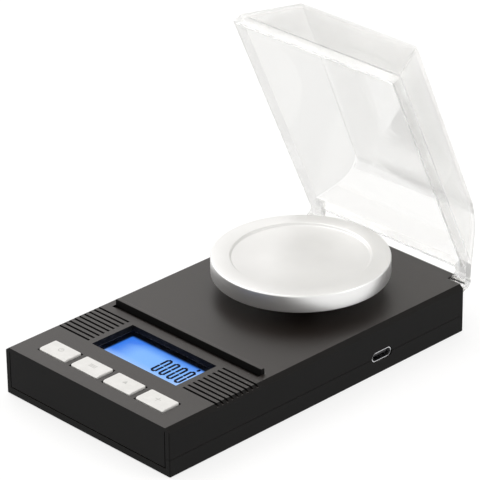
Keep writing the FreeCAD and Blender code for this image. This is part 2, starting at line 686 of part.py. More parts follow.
def add_lip(body):
    """Low wall across the deck that the closed hood stands behind, with a groove in front of it."""
    reach = f"({SIDE} - lip_from_side)"
    slab(body, (f"-{reach}", reach), (LIP_Y, f"{LIP_Y} + lip_thickness"),
         (f"{DECK} - {ROOT}", f"{DECK} + lip_height"))

    dress(body, "Fillet", at_level(f"{DECK} + lip_height"), Radius="edge_round")
    carve(body, (f"-{reach}", reach), (f"{LIP_Y} - groove_width", LIP_Y),
          (f"{DECK} - groove_depth", f"{DECK} + {ROOT}"))


def make_fasteners_and_feet():
    seat = f"{BASE} + case_head_sink"
    keep("case_screws", group("case_screws", [
        screw(f"case_screw_{index}", x, y, (seat, f"{seat} - case_head_height"),
              (seat, f"{seat} + case_screw_length"), "case_head_radius", "case_screw_radius")
        for index, (x, y) in enumerate(BOSSES, 1)]))
    keep("rubber_feet", group("rubber_feet", [
        rod(f"rubber_foot_{index}", x, y, ("0", f"{BASE} + foot_recess"), "foot_radius")
        for index, (x, y) in enumerate(FEET, 1)]))
    keep("board_screws", group("board_screws", [
        screw(f"board_screw_{index}", x, y, (BOARD_TOP, f"{BOARD_TOP} + small_head_height"),
              (f"{BOARD_TOP} - small_screw_length", BOARD_TOP), "small_head_radius", "small_screw_radius")
        for index, (x, y) in enumerate(POSTS, 1)]))
    keep("load_cell_screws", group("load_cell_screws", [
        screw(f"load_cell_screw_{index}", "0", y, (CELL_TOP, f"{CELL_TOP} + cell_head_height"),
              (f"{CELL_TOP} - cell_screw_length", CELL_TOP), "cell_head_radius", "cell_screw_radius")
        for index, y in enumerate(CELL_HOLES, 1)]))


# ------------------------------------------------------------------ hood and hinge

def make_hinge_pin():
    pin_rod = doc.addObject("Part::Cylinder", "hinge_pin")
    pin_rod.Placement.Rotation = FreeCAD.Rotation(FreeCAD.Vector(0, 1, 0), 90)
    bind(pin_rod, Radius="pin_radius", Height=f"2 * ({LID_HALF} - fit_gap)",
         Placement__Base__x=f"-{LID_HALF} + fit_gap", Placement__Base__y=HINGE_Y,
         Placement__Base__z=HINGE_Z)
    keep("hinge_pin", pin_rod)


def make_hood(name, inset, below):
    """The hood's solid form, or with an inset the hollow inside it, open downwards."""
    top = f"({RIM} + lid_height - {inset})"
    band = f"({RIM} + lid_band)"
    bottom = f"({RIM} - {below})"
    front = f"(-{LID_REACH} + {inset})"
    rear = f"(-{LID_BACK} - {inset})"
    half = f"({LID_HALF} - {inset})"
    risen = f"((lid_height - lid_band - {inset}) / (lid_height - lid_band))"
    rear_rise = "(lid_height - lid_band - lid_rear_drop)"
    rear_top = f"({rear} - lid_rear_taper * ({rear_rise} - {inset}) / {rear_rise})"
    panel_half = f"({half} - lid_side_taper * {risen})"
    body = new_body(name)
    sketch = new_sketch(body, "YZ_Plane")
    outline(sketch, [
        (front, bottom), (front, band), (f"{front} + lid_front_taper * {risen}", top),
        (rear_top, f"{top} - lid_rear_drop"), (rear, band), (rear, bottom)])
    pad(body, sketch, f"2 * {half}", both_ways=True)

    def at_rear_top(edge):
        box = edge.BoundBox
        return near(box.YMax, rear_top) and near(box.ZMin, f"{top} - lid_rear_drop")
    dress(body, "Fillet", at_rear_top, Radius=f"lid_rear_round - {inset}")
    for sign in ("", "-"):
        sketch = new_sketch(body, "XZ_Plane")
        outline(sketch, [
            (f"{sign}{half}", band), (f"{sign}{panel_half}", top),
            (f"{sign}{panel_half}", f"{top} + {PAST}"),
            (f"{sign}({half} + {PAST})", f"{top} + {PAST}"), (f"{sign}({half} + {PAST})", band)])
        pocket(body, sketch, f"4 * {LID_REACH}", both_ways=True)

    def off_the_rim(edge):
        return not near(edge.BoundBox.ZMax, bottom)
    dress(body, "Fillet", off_the_rim, Radius=f"lid_round - 0.5 * lid_round * {inset} / lid_wall")
    return body


def make_lid():
    """Hood drawn closed about its hinge axis, then turned open by its placement."""
    hood = cut("lid_hood", make_hood("lid_form", "0", "0"), make_hood("lid_hollow", "lid_wall", PAST))
    bore = doc.addObject("Part::Cylinder", "lid_bore")
    bore.Placement.Rotation = FreeCAD.Rotation(FreeCAD.Vector(0, 1, 0), 90)
    bind(bore, Radius="pin_radius + pin_gap", Height="body_width", Placement__Base__x=f"-{SIDE}")
    lid = cut("lid", fuse("lid_with_ears", hood, make_ears()), bore)
    lid.Placement.Rotation = FreeCAD.Rotation(FreeCAD.Vector(-1, 0, 0), number("open_angle"))
    bind(lid, Placement__Base__y=HINGE_Y, Placement__Base__z=HINGE_Z,
         Placement__Rotation__Angle="open_angle")
    keep("lid", lid)


def make_ears():
    """Two lobes round the pin, each joined to the rear wall by a web and ending in a stop heel.

    The shares of ear_radius put the web's and the heel's straight edges on the lobe's circle.
    """
    body = new_body("lid_ears")
    heel = ("heel_reach * cos(heel_angle)", "-heel_reach * sin(heel_angle)")
    into_wall = f"-{LID_BACK} - lid_wall / 2"
    sketches = []
    for _ in range(3):
        sketches.append(new_sketch(body, "YZ_Plane", EAR_INNER))
    web, lobe, stop = sketches
    outline(web, [(into_wall, RIM), ("-ear_root", RIM), ("-0.94 * ear_radius", "0"),
                  ("0", "0"), ("0", "ear_radius"), (into_wall, f"{RIM} + lid_band")])
    circle(lobe, "0", "0", "ear_radius")
    outline(stop, [("0", "0"), ("-0.34 * ear_radius", "-0.94 * ear_radius"), heel,
                   ("0.98 * ear_radius", "-0.2 * ear_radius")])
    ears = [pad(body, sketch, "ear_width") for sketch in sketches]
    other = body.newObject("PartDesign::Mirrored", "ear_mirror")
    other.Originals = ears
    other.MirrorPlane = (plane(body, "YZ_Plane"), [""])
    body.Tip = other
    doc.recompute()
    if len(body.Shape.Solids) != 2:
        raise RuntimeError("the second ear is missing")
    return body


# ------------------------------------------------------------------ pan, post and load cell

def make_weighing_pan():
    """Thin turned pan: a flat rim, a shallow dish, a straight skirt and a locating ring below."""
    body = new_body("weighing_pan")
    height = "pan_height"
    dish = f"({height} - dish_depth)"
    inner = "(pan_radius - pan_wall)"
    ring_in = "(plate_radius + ring_gap)"
    ring_out = f"({ring_in} + ring_wall)"
    step = "(dish_radius - dish_slope)"
    under_step = f"({step} + pan_wall / 2)"
    sketch = new_sketch(body, "XZ_Plane")
    outline(sketch, [
        ("0", f"{dish} - pan_wall"), (ring_in, f"{dish} - pan_wall"),
        (ring_in, f"{dish} - pan_wall - ring_height"), (ring_out, f"{dish} - pan_wall - ring_height"),
        (ring_out, f"{dish} - pan_wall"), (under_step, f"{dish} - pan_wall"),
        ("dish_radius + pan_wall / 2", f"{height} - pan_wall"), (inner, f"{height} - pan_wall"),
        (inner, "0"), ("pan_radius", "0"), ("pan_radius", height), ("dish_radius", height),
        (step, dish), ("0", dish)])
    turned(body, sketch)

    def outer_edge(edge):
        return near(edge.BoundBox.XMax, "pan_radius") and near(edge.BoundBox.ZMin, height)

    def lower_edge(edge):
        return near(edge.BoundBox.XMax, "pan_radius") and near(edge.BoundBox.ZMax, "0")
    dress(body, "Fillet", outer_edge, Radius="pan_round")
    dress(body, "Fillet", lower_edge, Radius="0.4 * pan_wall")
    bind(body, Placement__Base__y=PAN_Y, Placement__Base__z=PAN_BOTTOM)
    keep("weighing_pan", body)


def make_pan_support():
    """Turned post: a foot on the load cell, a shaft through the deck and a plate under the pan."""
    body = new_body("pan_support")
    rise = f"({PLATE_TOP} - {CELL_TOP})"
    sketch = new_sketch(body, "XZ_Plane")
    outline(sketch, [
        ("cell_screw_radius + thread_gap", "0"), ("post_foot_radius", "0"),
        ("post_foot_radius", "post_foot_height"), ("post_shaft_radius", "post_foot_height"),
        ("post_shaft_radius", f"{rise} - plate_thickness - post_flare"),
        ("post_shaft_radius + post_flare", f"{rise} - plate_thickness"),
        ("plate_radius", f"{rise} - plate_thickness"), ("plate_radius", rise),
        ("cell_screw_radius + thread_gap", rise)])
    turned(body, sketch)
    bind(body, Placement__Base__y=PAN_Y, Placement__Base__z=CELL_TOP)
    keep("pan_support", body)
    keep("post_screw", screw(
        "post_screw", "0", PAN_Y, (CELL_BOTTOM, f"{CELL_BOTTOM} - cell_head_height"),
        (CELL_BOTTOM, f"{CELL_BOTTOM} + cell_height + cell_screw_length"),
        "cell_head_radius", "cell_screw_radius"))


def make_load_cell():
    """Aluminium beam with the joined round holes that let it bend as a parallelogram."""
    body = new_body("load_cell")
    slab(body, ("-cell_width / 2", "cell_width / 2"), (CELL_FRONT, CELL_REAR), (CELL_BOTTOM, CELL_TOP))
    middle = f"({CELL_BOTTOM} + cell_height / 2)"
    for side in ("-", "+"):
        sketch = new_sketch(body, "YZ_Plane")
        circle(sketch, f"{CELL_MIDDLE} {side} cell_hole_pitch / 2", middle, "cell_hole_radius")
        pocket(body, sketch, "2 * cell_width", both_ways=True)
    sketch = new_sketch(body, "YZ_Plane")
    rectangle(sketch, (f"{CELL_MIDDLE} - cell_hole_pitch / 2", f"{CELL_MIDDLE} + cell_hole_pitch / 2"),
              (f"{middle} - cell_hole_radius / 2", f"{middle} + cell_hole_radius / 2"))
    pocket(body, sketch, "2 * cell_width", both_ways=True)
    drill(body, [("0", place) for place in [*CELL_HOLES, PAN_Y]], "cell_screw_radius + fit_gap",
          (f"{CELL_BOTTOM} - {PAST}", f"{CELL_TOP} + {PAST}"))
    keep("load_cell", body)

    gauges = []
    for side in ("-", "+"):
        y = f"({CELL_MIDDLE} {side} cell_hole_pitch / 2)"
        along = (f"{y} - gauge_length / 2", f"{y} + gauge_length / 2")
        for level, z in (("upper", (CELL_TOP, f"{CELL_TOP} + gauge_thickness")),
                         ("lower", (f"{CELL_BOTTOM} - gauge_thickness", CELL_BOTTOM))):
            end = "front" if side == "-" else "rear"
            gauges.append(middle_block(f"gauge_{level}_{end}", "0", "gauge_width", along, z))
    keep("strain_gauges", group("strain_gauges", gauges))

    top = f"{CELL_BOTTOM} - overload_gap"
    foot = f"({BASE} + 2 * fit_gap)"
    blank = rod("overload_blank", "0", OVERLOAD_Y, (foot, top), "overload_radius")
    slot = middle_block("overload_slot", "0", "3 * overload_radius",
                        (f"{OVERLOAD_Y} - overload_radius / 6", f"{OVERLOAD_Y} + overload_radius / 6"),
                        (f"{foot} - {PAST}", f"{foot} + overload_radius / 2"))
    keep("overload_screw", cut("overload_screw", blank, slot))


# ------------------------------------------------------------------ keys and switches

def at_level(level):
    """A test for edges that lie flat at one height."""
    def flat(edge):
        return near(edge.BoundBox.ZMax, level) and near(edge.BoundBox.ZMin, level)
    return flat


def bevel_key_front(body, x, top):
    """The long sloping facet along a key's front edge."""
    front = f"({KEY_Y} - key_length / 2)"
    sketch = new_sketch(body, "YZ_Plane", x)
    outline(sketch, [
        (front, f"{top} - key_bevel_drop"), (f"{front} + key_bevel_length", top),
        (f"{front} + key_bevel_length", f"{top} + {PAST}"), (f"{front} - {PAST}", f"{top} + {PAST}"),
        (f"{front} - {PAST}", f"{top} - key_bevel_drop")])
    pocket(body, sketch, "2 * key_width", both_ways=True)


def make_keys():
    for index, x in KEYS.items():
        body = new_body(f"button_{index}")
        top = f"({DECK} + key_proud)"
        flange = f"({CEILING} - key_play)"
        flange_low = f"({flange} - key_flange_thickness)"
        half = "(key_width / 2)"
        slab(body, (f"{x} - {half}", f"{x} + {half}"),
             (f"{KEY_Y} - key_length / 2", f"{KEY_Y} + key_length / 2"), (flange_low, top))

        dress(body, "Fillet", upright, Radius="2 * edge_round")
        dress(body, "Fillet", at_level(top), Radius="edge_round")
        bevel_key_front(body, x, top)
        reach = f"({half} + key_slit + key_flange / 2)"
        depth = "(key_length / 2 + key_slit + key_flange)"
        slab(body, (f"{x} - {reach}", f"{x} + {reach}"),
             (f"{KEY_Y} - {depth}", f"{KEY_Y} + {depth}"), (flange_low, flange))
        discs(body, [(x, KEY_Y)], "key_stem_radius", (f"{BOARD_TOP} + switch_height", f"{flange}"))
        keep(f"button_{index}", body)
        top_of_plunger = f"{BOARD_TOP} + switch_height"
        keep(f"switch_plunger_{index}", rod(
            f"switch_plunger_{index}", x, KEY_Y, (f"{top_of_plunger} - plunger_length", top_of_plunger),
            "plunger_radius"))

    housings = []
    domes = []
    for index, x in KEYS.items():
        shell = middle_block(f"switch_block_{index}", x, "switch_side",
                             (f"{KEY_Y} - switch_side / 2", f"{KEY_Y} + switch_side / 2"),
                             (BOARD_TOP, f"{BOARD_TOP} + switch_body_height"))
        well = rod(f"switch_well_{index}", x, KEY_Y,
                   (f"{BOARD_TOP} + switch_base", f"{BOARD_TOP} + switch_body_height + {PAST}"),
                   "plunger_radius + plunger_gap")
        housings.append(cut(f"switch_housing_{index}", shell, well))
        domes.append(rod(f"switch_dome_{index}", x, KEY_Y,
                         (f"{BOARD_TOP} + switch_base",
                          f"{BOARD_TOP} + switch_base + dome_thickness"),
                         "plunger_radius + plunger_gap - dome_gap"))
    keep("switch_housings", group("switch_housings", housings))
    keep("switch_domes", group("switch_domes", domes))


# ------------------------------------------------------------------ display and boards

def ring(name, half_x, half_y, width, z):
    """A rectangular band round the display's centre."""
    outer = block(name + "_outer", (f"-{half_x}", half_x),
                  (f"{WINDOW_Y} - {half_y}", f"{WINDOW_Y} + {half_y}"), z)
    hole = block(name + "_hole", (f"-({half_x} - {width})", f"{half_x} - {width}"),
                 (f"{WINDOW_Y} - ({half_y} - {width})", f"{WINDOW_Y} + ({half_y} - {width})"),
                 (f"{z[0]} - {PAST}", f"{z[1]} + {PAST}"))
    return cut(name, outer, hole)


def make_display():
    across = ("-glass_width / 2", "glass_width / 2")
    along = (f"{WINDOW_Y} - glass_length / 2", f"{WINDOW_Y} + glass_length / 2")
    keep("lcd_front_glass", block("lcd_front_glass", across, along, (GLASS_MIDDLE, GLASS_TOP)))
    keep("lcd_rear_glass", block("lcd_rear_glass", across, along, (GLASS_BOTTOM, GLASS_MIDDLE)))
    split = f"({along[1]} - strip_width)"
    keep("lcd_backlight", block("lcd_backlight", across, (along[0], f"{split} - fit_gap"),
                                (BOARD_TOP, GLASS_BOTTOM)))
    keep("contact_strip", block("contact_strip",
                                ("-glass_width / 2 + strip_width", "glass_width / 2 - strip_width"),
                                (split, along[1]), (BOARD_TOP, GLASS_BOTTOM)))
    half_x = "(glass_width / 2 + fit_gap + frame_wall)"
    half_y = "(glass_length / 2 + fit_gap + frame_wall)"
    keep("lcd_frame", ring("lcd_frame", half_x, half_y, "frame_wall", (BOARD_TOP, GLASS_TOP)))
    keep("window_gasket", ring("window_gasket", "(window_width / 2 + gasket_thickness + gasket_width)",
                               "(window_length / 2 + gasket_thickness + gasket_width)",
                               "gasket_width", (GLASS_TOP, CEILING)))


def make_boards():
    body = new_body("main_board")
    slab(body, ("-board_width / 2", "board_width / 2"), (BOARD_FRONT, BOARD_REAR),
         (BOARD_BOTTOM, BOARD_TOP))
    drill(body, POSTS, "small_screw_radius + fit_gap", (f"{BOARD_BOTTOM} - {PAST}", f"{BOARD_TOP} + {PAST}"))
    keep("main_board", body)

    def chip(name, x, y, width, length, height):
        """A package under the main board."""
        keep(name, middle_block(name, x, width, (f"{y} - {length} / 2", f"{y} + {length} / 2"),
                                (f"{BOARD_BOTTOM} - {height}", BOARD_BOTTOM)))
    chip("controller_chip", "controller_x", WINDOW_Y,
         "controller_side", "controller_side", "controller_thickness")
    chip("converter_chip", "small_parts_x", f"({WINDOW_Y} + converter_shift)",
         "converter_width", "converter_length", "converter_thickness")
    chip("clock_crystal", "small_parts_x", f"({WINDOW_Y} - crystal_shift)",
         "crystal_width", "crystal_length", "crystal_thickness")

    keep("charge_board", block("charge_board", (CHARGE_INNER, CHARGE_OUTER),
                               (f"{USB_Y} - charge_board_length / 2", f"{USB_Y} + charge_board_length / 2"),
                               (CHARGE_BOTTOM, CHARGE_TOP)))
    keep("charge_chip", middle_block(
        "charge_chip", f"({CHARGE_INNER} + charge_chip_width)", "charge_chip_width",
        (f"{USB_Y} - charge_chip_length / 2", f"{USB_Y} + charge_chip_length / 2"),
        (CHARGE_TOP, f"{CHARGE_TOP} + charge_chip_thickness")))
    near_side = "-battery_from_middle"
    across = (f"{near_side} - battery_width", near_side)
    along = (f"{BATTERY_Y} - battery_length / 2", f"{BATTERY_Y} + battery_length / 2")
    inset = "battery_pad_inset"
    keep("battery_pad", block("battery_pad", (f"{across[0]} + {inset}", f"{across[1]} - {inset}"),
                              (f"{along[0]} + {inset}", f"{along[1]} - {inset}"),
                              (FLOOR, f"{FLOOR} + battery_pad_thickness")))
    cell = new_body("battery_cell")
    low = f"({FLOOR} + battery_pad_thickness)"
    slab(cell, across, along, (low, f"{low} + battery_thickness"))

    def long_edges(edge):
        return not upright(edge) and edge.BoundBox.YLength > number("battery_length") / 2
    dress(cell, "Fillet", long_edges, Radius="battery_round")
    keep("battery_cell", cell)


def make_socket():
    """Shell drawn as a tube with its mouth towards +X, and the tongue inside it."""
    mouth = f"({SIDE} - usb_recess)"
    back = f"({mouth} - usb_length)"
    body = new_body("usb_shell")
    sketch = new_sketch(body, "YZ_Plane", back)
    stadium(sketch, USB_Y, USB_Z, "usb_width", "usb_thickness")
    pad(body, sketch, "usb_length")
    sketch = new_sketch(body, "YZ_Plane", f"{back} + usb_back_wall")
    stadium(sketch, USB_Y, USB_Z, "(usb_width - 2 * usb_wall)", "(usb_thickness - 2 * usb_wall)")
    pocket(body, sketch, "usb_length", backwards=True)
    keep("usb_shell", body)
    keep("usb_tongue", block("usb_tongue", (f"{back} + usb_back_wall", f"{mouth} - tongue_recess"),
                             (f"{USB_Y} - tongue_width / 2", f"{USB_Y} + tongue_width / 2"),
                             (f"{USB_Z} - tongue_thickness / 2", f"{USB_Z} + tongue_thickness / 2")))


# ------------------------------------------------------------------ wires

def lead(points, radius, bend):
    """One wire: straight runs through the points, joined by tangent arcs, swept by a round section."""
    edges = []
    start = points[0]
    for before, corner, after in zip(points, points[1:], points[2:]):
        inward = (before - corner).normalize()
        outward = (after - corner).normalize()
        half_turn = math.acos(max(-1.0, min(1.0, inward.dot(outward)))) / 2
        setback = bend / math.tan(half_turn)
        enter = corner + inward * setback
        leave = corner + outward * setback
        bisector = (inward + outward).normalize()
        centre = corner + bisector * (bend / math.sin(half_turn))
        middle = centre - bisector * bend
        edges.append(Part.LineSegment(start, enter).toShape())
        edges.append(Part.Arc(enter, middle, leave).toShape())
        start = leave
    edges.append(Part.LineSegment(start, points[-1]).toShape())
    path = Part.Wire(edges)
    along = (points[1] - points[0]).normalize()
    section = Part.Wire([Part.Circle(points[0], along, radius).toShape()])
    tube = path.makePipeShell([section], True, True)
    length = path.Length
    expected = math.pi * radius ** 2 * length
    if abs(tube.Volume - expected) > 0.02 * expected:
        raise RuntimeError("a wire's volume is wrong")
    return tube


def make_leads(name, count, route):
    """Wires side by side.  The route gives each point's x, y, z and which way the wires fan out."""
    radius = number("lead_radius")
    tubes = []
    for index in range(count):
        shift = (index - (count - 1) / 2) * (2 * radius + number("lead_gap"))
        points = [FreeCAD.Vector(number(x) + fx * shift, number(y) + fy * shift, number(z))
                  for x, y, z, fx, fy in route]
        tubes.append(lead(points, radius, number("lead_bend")))
    feature = doc.addObject("Part::Feature", name)
    feature.Shape = Part.makeCompound(tubes)
    keep(name, feature)


def make_wiring():
    """Load cell, battery and charging wires, each led under the rear edge of the main board."""
    under = f"({BOARD_BOTTOM} - lead_radius)"
    entry = [(f"{BOARD_REAR} + lead_level", under), (f"{BOARD_REAR} - lead_entry", under)]

    def led_under(name, count, start, climb, x, fan):
        """From the start, down the column at x, and in under the board."""
        make_leads(name, count, [*start, (x, climb[0], climb[1], fan, 0),
                                 *((x, y, z, fan, 0) for y, z in entry)])
    beside = "(cell_width / 2 + lead_clear)"
    level = f"({CELL_TOP} - lead_below_top)"
    led_under("cell_leads", 4, [("cell_width / 2", CELL_MIDDLE, level, 0, 1),
                                (beside, CELL_MIDDLE, level, 1, 1)],
              (f"{CELL_FRONT} - lead_bend", level), beside, 1)
    end = f"({BATTERY_Y} - battery_length / 2)"
    level = f"({FLOOR} + battery_pad_thickness + battery_thickness / 2)"
    led_under("battery_leads", 2, [(BATTERY_X, end, level, 1, 0)],
              (f"{end} - lead_drop", level), BATTERY_X, 1)
    beside = "(post_back_side - post_radius - lead_from_post)"
    level = f"({CHARGE_TOP} + lead_radius)"
    start = f"({USB_Y} - charge_chip_length)"
    led_under("charge_leads", 2, [(f"{CHARGE_INNER} + charge_chip_width / 2", start, level, 0, 1),
                                  (beside, start, level, -1, 1)],
              (f"{BOARD_REAR} + lead_drop", level), beside, -1)


# ------------------------------------------------------------------ build, check and write

make_bottom_cover()
make_top_cover()
make_fasteners_and_feet()
make_hinge_pin()
make_lid()
make_weighing_pan()
make_pan_support()
make_load_cell()
make_keys()
make_display()
make_boards()
make_socket()
make_wiring()
doc.recompute()

for thing in doc.Objects:
    if {"Invalid", "Error"} & set(thing.State):
        raise RuntimeError(f"{thing.Name} failed: {thing.State}")
for name, piece in nodes.items():
    if piece.Shape.isNull() or not piece.Shape.isValid():
        raise RuntimeError(f"{name} has no valid shape")
    if not piece.Shape.Solids:
        raise RuntimeError(f"{name} holds no solid")

os.makedirs("parts", exist_ok=True)
for name, piece in nodes.items():
    piece.Shape.exportStep(f"parts/{name}.step")
    print(f"{name}: {len(piece.Shape.Solids)} solid(s), {piece.Shape.Volume:.1f} mm3")
print(f"{len(nodes)} nodes written")
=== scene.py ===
# %% [markdown]
# # A gram scale with a clear hood
# The scale is a flat black case with a lit display, four white keys, a round metal pan on a post and
# a clear hood on a hinge.  The solid parts come ready made from the CAD frame, so this lesson is about
# the camera, the light, the finish of every part and the small pieces that the CAD leaves out.
# Everything is in metres in the frame's own axes: X to the right, Y to the back, Z up.

# %% Load the frame
import math

import bmesh
import bpy
from mathutils import Matrix, Vector


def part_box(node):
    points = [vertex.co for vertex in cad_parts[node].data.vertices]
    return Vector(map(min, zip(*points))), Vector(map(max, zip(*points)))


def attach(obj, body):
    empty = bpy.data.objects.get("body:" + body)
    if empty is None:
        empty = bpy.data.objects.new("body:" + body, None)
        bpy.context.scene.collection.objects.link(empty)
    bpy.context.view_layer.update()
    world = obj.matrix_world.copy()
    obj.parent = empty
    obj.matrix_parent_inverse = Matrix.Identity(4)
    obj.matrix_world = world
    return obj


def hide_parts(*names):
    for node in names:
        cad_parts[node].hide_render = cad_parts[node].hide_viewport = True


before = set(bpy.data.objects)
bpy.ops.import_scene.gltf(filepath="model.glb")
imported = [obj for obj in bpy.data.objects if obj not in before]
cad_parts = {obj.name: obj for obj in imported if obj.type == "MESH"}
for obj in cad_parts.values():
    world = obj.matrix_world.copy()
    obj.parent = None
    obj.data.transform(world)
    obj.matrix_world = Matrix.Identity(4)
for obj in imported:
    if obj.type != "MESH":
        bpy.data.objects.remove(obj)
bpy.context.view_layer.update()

MM = 0.001

# %% [markdown]
# ## Camera
# A product shot from well back with a long lens keeps the case's edges almost parallel.  The camera
# could be placed by hand, but here it is aimed: a point to look at, two angles, a small roll and a
# distance say the same thing in words that a person can check.

# %% Camera
AIM = Vector((-12.4, 13.2, 35.15)) * MM
AZIMUTH, ELEVATION, ROLL = 46.06, 26.69, -0.746      # degrees
DISTANCE = 1032.4 * MM
LENS = 238.1                                          # millimetres on a 36 mm sensor


def aimed_camera(name):
    """A camera that looks at AIM from the given side and height."""
    around, up, roll = (math.radians(angle) for angle in (AZIMUTH, ELEVATION, ROLL))
    forward = Vector((-math.sin(around) * math.cos(up), math.cos(around) * math.cos(up), -math.sin(up)))
    level = Vector((math.cos(around), math.sin(around), 0))
    right = level * math.cos(roll) + level.cross(forward) * math.sin(roll)
    upward = right.cross(forward)
    data = bpy.data.cameras.new(name)
    data.lens = LENS
    data.clip_end = 20
    camera = bpy.data.objects.new(name, data)
    camera.matrix_world = Matrix.Translation(AIM - forward * DISTANCE) @ Matrix(
        (right, upward, -forward)).transposed().to_4x4()
    bpy.context.scene.collection.objects.link(camera)
    return camera


bpy.context.scene.camera = aimed_camera("camera")
print("camera at", [round(v, 4) for v in bpy.context.scene.camera.matrix_world.translation])

# %% [markdown]
# ## Shader maths
# A finish is a small network of nodes.  Wiring it socket by socket hides the sum behind the wires, so
# one class wraps a socket and lets it be added, multiplied and subtracted in plain Python.  A second
# class holds one material and makes every other kind of node through a single method.

# %% A socket that can be used in sums
class Val:
    """One output socket of a finish, usable in Python arithmetic."""

    def __init__(self, finish, socket):
        self.finish = finish
        self.socket = socket

    def out(self, name):
        """Another output of the same node."""
        return Val(self.finish, self.socket.node.outputs[name])

    def math(self, operation, *values):
        return self.finish.node("ShaderNodeMath", {"operation": operation}, *values)

    def __add__(self, other):
        return self.math("ADD", self, other)

    __radd__ = __add__

    def __sub__(self, other):
        return self.math("SUBTRACT", self, other)

    def __rsub__(self, other):
        return self.math("SUBTRACT", other, self)

    def __mul__(self, other):
        return self.math("MULTIPLY", self, other)

    __rmul__ = __mul__

    def __truediv__(self, other):
        return self.math("DIVIDE", self, other)


print("a socket can now be added, subtracted, multiplied and divided")


# %% A material with one method for every node
class Finish:
    """A Principled material.  Sockets with a constant value are given by name when it is made."""

    def __init__(self, name, **constants):
        self.material = bpy.data.materials.new(name)
        self.material.use_nodes = True
        self.tree = self.material.node_tree
        self.shader = self.tree.nodes["Principled BSDF"]
        self.surface(**constants)

    def plug(self, socket, value):
        if isinstance(value, Val):
            self.tree.links.new(value.socket, socket)
        elif isinstance(value, tuple) and len(socket.default_value) == 4:
            socket.default_value = (*value, 1) if len(value) == 3 else value
        else:
            socket.default_value = value

    def node(self, kind, settings=None, *values, **named):
        """Make a node: settings first, then its sockets in order or by name."""
        made = self.tree.nodes.new(kind)
        for key, value in (settings or {}).items():
            setattr(made, key, value)
        shown = [socket for socket in made.inputs if socket.enabled]
        for socket, value in zip(shown, values):
            self.plug(socket, value)
        for name, value in named.items():
            self.plug(next(s for s in shown if s.name == name.replace("_", " ")), value)
        return Val(self, next(s for s in made.outputs if s.enabled))

    def surface(self, **named):
        """Set or link sockets of the shader itself."""
        for name, value in named.items():
            self.plug(self.shader.inputs[name.replace("_", " ")], value)
        return self

    def partly_clear(self, share, tint=(1.0, 1.0, 1.0)):
        """Let the given share of the light straight through, past the shader."""
        clear = self.node("ShaderNodeBsdfTransparent", None, tint)
        both = self.node("ShaderNodeMixShader", None, share, Val(self, self.shader.outputs[0]), clear)
        self.tree.links.new(both.socket, self.tree.nodes["Material Output"].inputs["Surface"])
        return self

    # the handful of patterns that most finishes share
    def place(self):
        return self.node("ShaderNodeTexCoord").out("Object")

    def facing(self):
        return self.node("ShaderNodeTexCoord").out("Normal")

    def split(self, vector):
        return self.node("ShaderNodeSeparateXYZ", None, vector)

    def noise(self, scale, detail=2.0, rough=0.5, at=None):
        return self.node("ShaderNodeTexNoise", None, Vector=at or self.place(), Scale=scale,
                         Detail=detail, Roughness=rough)

    def stretched(self, x, y, z):
        """The position, squeezed or stretched along each axis."""
        return self.node("ShaderNodeVectorMath", {"operation": "MULTIPLY"}, self.place(), (x, y, z))

    def spread(self, value, low, high, new_low, new_high):
        """Map one range onto another, and stop at its ends."""
        return self.node("ShaderNodeMapRange", {"interpolation_type": "SMOOTHSTEP"},
                         value, low, high, new_low, new_high)

    def mix(self, share, one, other):
        return self.node("ShaderNodeMix", {"data_type": "RGBA"}, share, one, other)

    def bump(self, height, depth, strength=1.0):
        return self.node("ShaderNodeBump", None, Strength=strength, Distance=depth, Height=height)


def wear(finish, *names):
    """Put a finish on CAD nodes."""
    for name in names:
        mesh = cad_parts[name].data
        mesh.materials.clear()
        mesh.materials.append(finish.material)


print("shader tools ready")

# %% [markdown]
# ## Studio light and floor
# A white sweep table and a big white tent give a soft light with no hard shadow.  The tent is the
# world, and two large panels add direction.  A plain white floor would come out grey where the case
# shades it, so this one glows a little from below, as a lit product table does.

# %% World
TENT_COLOUR = (0.95, 0.935, 0.915, 1)


def tent():
    """The world is one warm white all round."""
    world = bpy.data.worlds.new("tent")
    world.use_nodes = True
    world.node_tree.nodes["Background"].inputs["Color"].default_value = TENT_COLOUR
    bpy.context.scene.world = world


tent()
print("tent colour:", TENT_COLOUR[:3])


# %% Light panels and floor
def panel(name, place, target, side, power):
    """A square light that faces a target."""
    data = bpy.data.lights.new(name, "AREA")
    data.size = side
    data.energy = power
    lamp = bpy.data.objects.new(name, data)
    lamp.location = place
    lamp.rotation_euler = (Vector(target) - Vector(place)).to_track_quat("-Z", "Y").to_euler()
    bpy.context.scene.collection.objects.link(lamp)
    return lamp


lamps = [panel("top panel", (-0.84, 0.18, 1.08), (0, 0.08, 0.08), 1.0, 6),
         panel("side panel", (1.2, 0.5, 0.5), (0, 0, 0), 0.6, 3)]


def sweep_table():
    """A wide floor that glows a little."""
    builder = bmesh.new()
    bmesh.ops.create_grid(builder, x_segments=8, y_segments=8, size=3)
    mesh = bpy.data.meshes.new("floor")
    builder.to_mesh(mesh)
    builder.free()
    floor = bpy.data.objects.new("floor", mesh)
    bpy.context.scene.collection.objects.link(floor)
    glow = Finish("floor", Roughness=1.0, Specular_IOR_Level=0.0, Base_Color=(0.3, 0.3, 0.3),
                  Emission_Color=(1.0, 1.0, 1.0), Emission_Strength=0.72)
    mesh.materials.append(glow.material)
    return floor


sweep_table()
bpy.context.scene.view_settings.view_transform = "Standard"
print("floor, tent and", len(lamps), "panels")
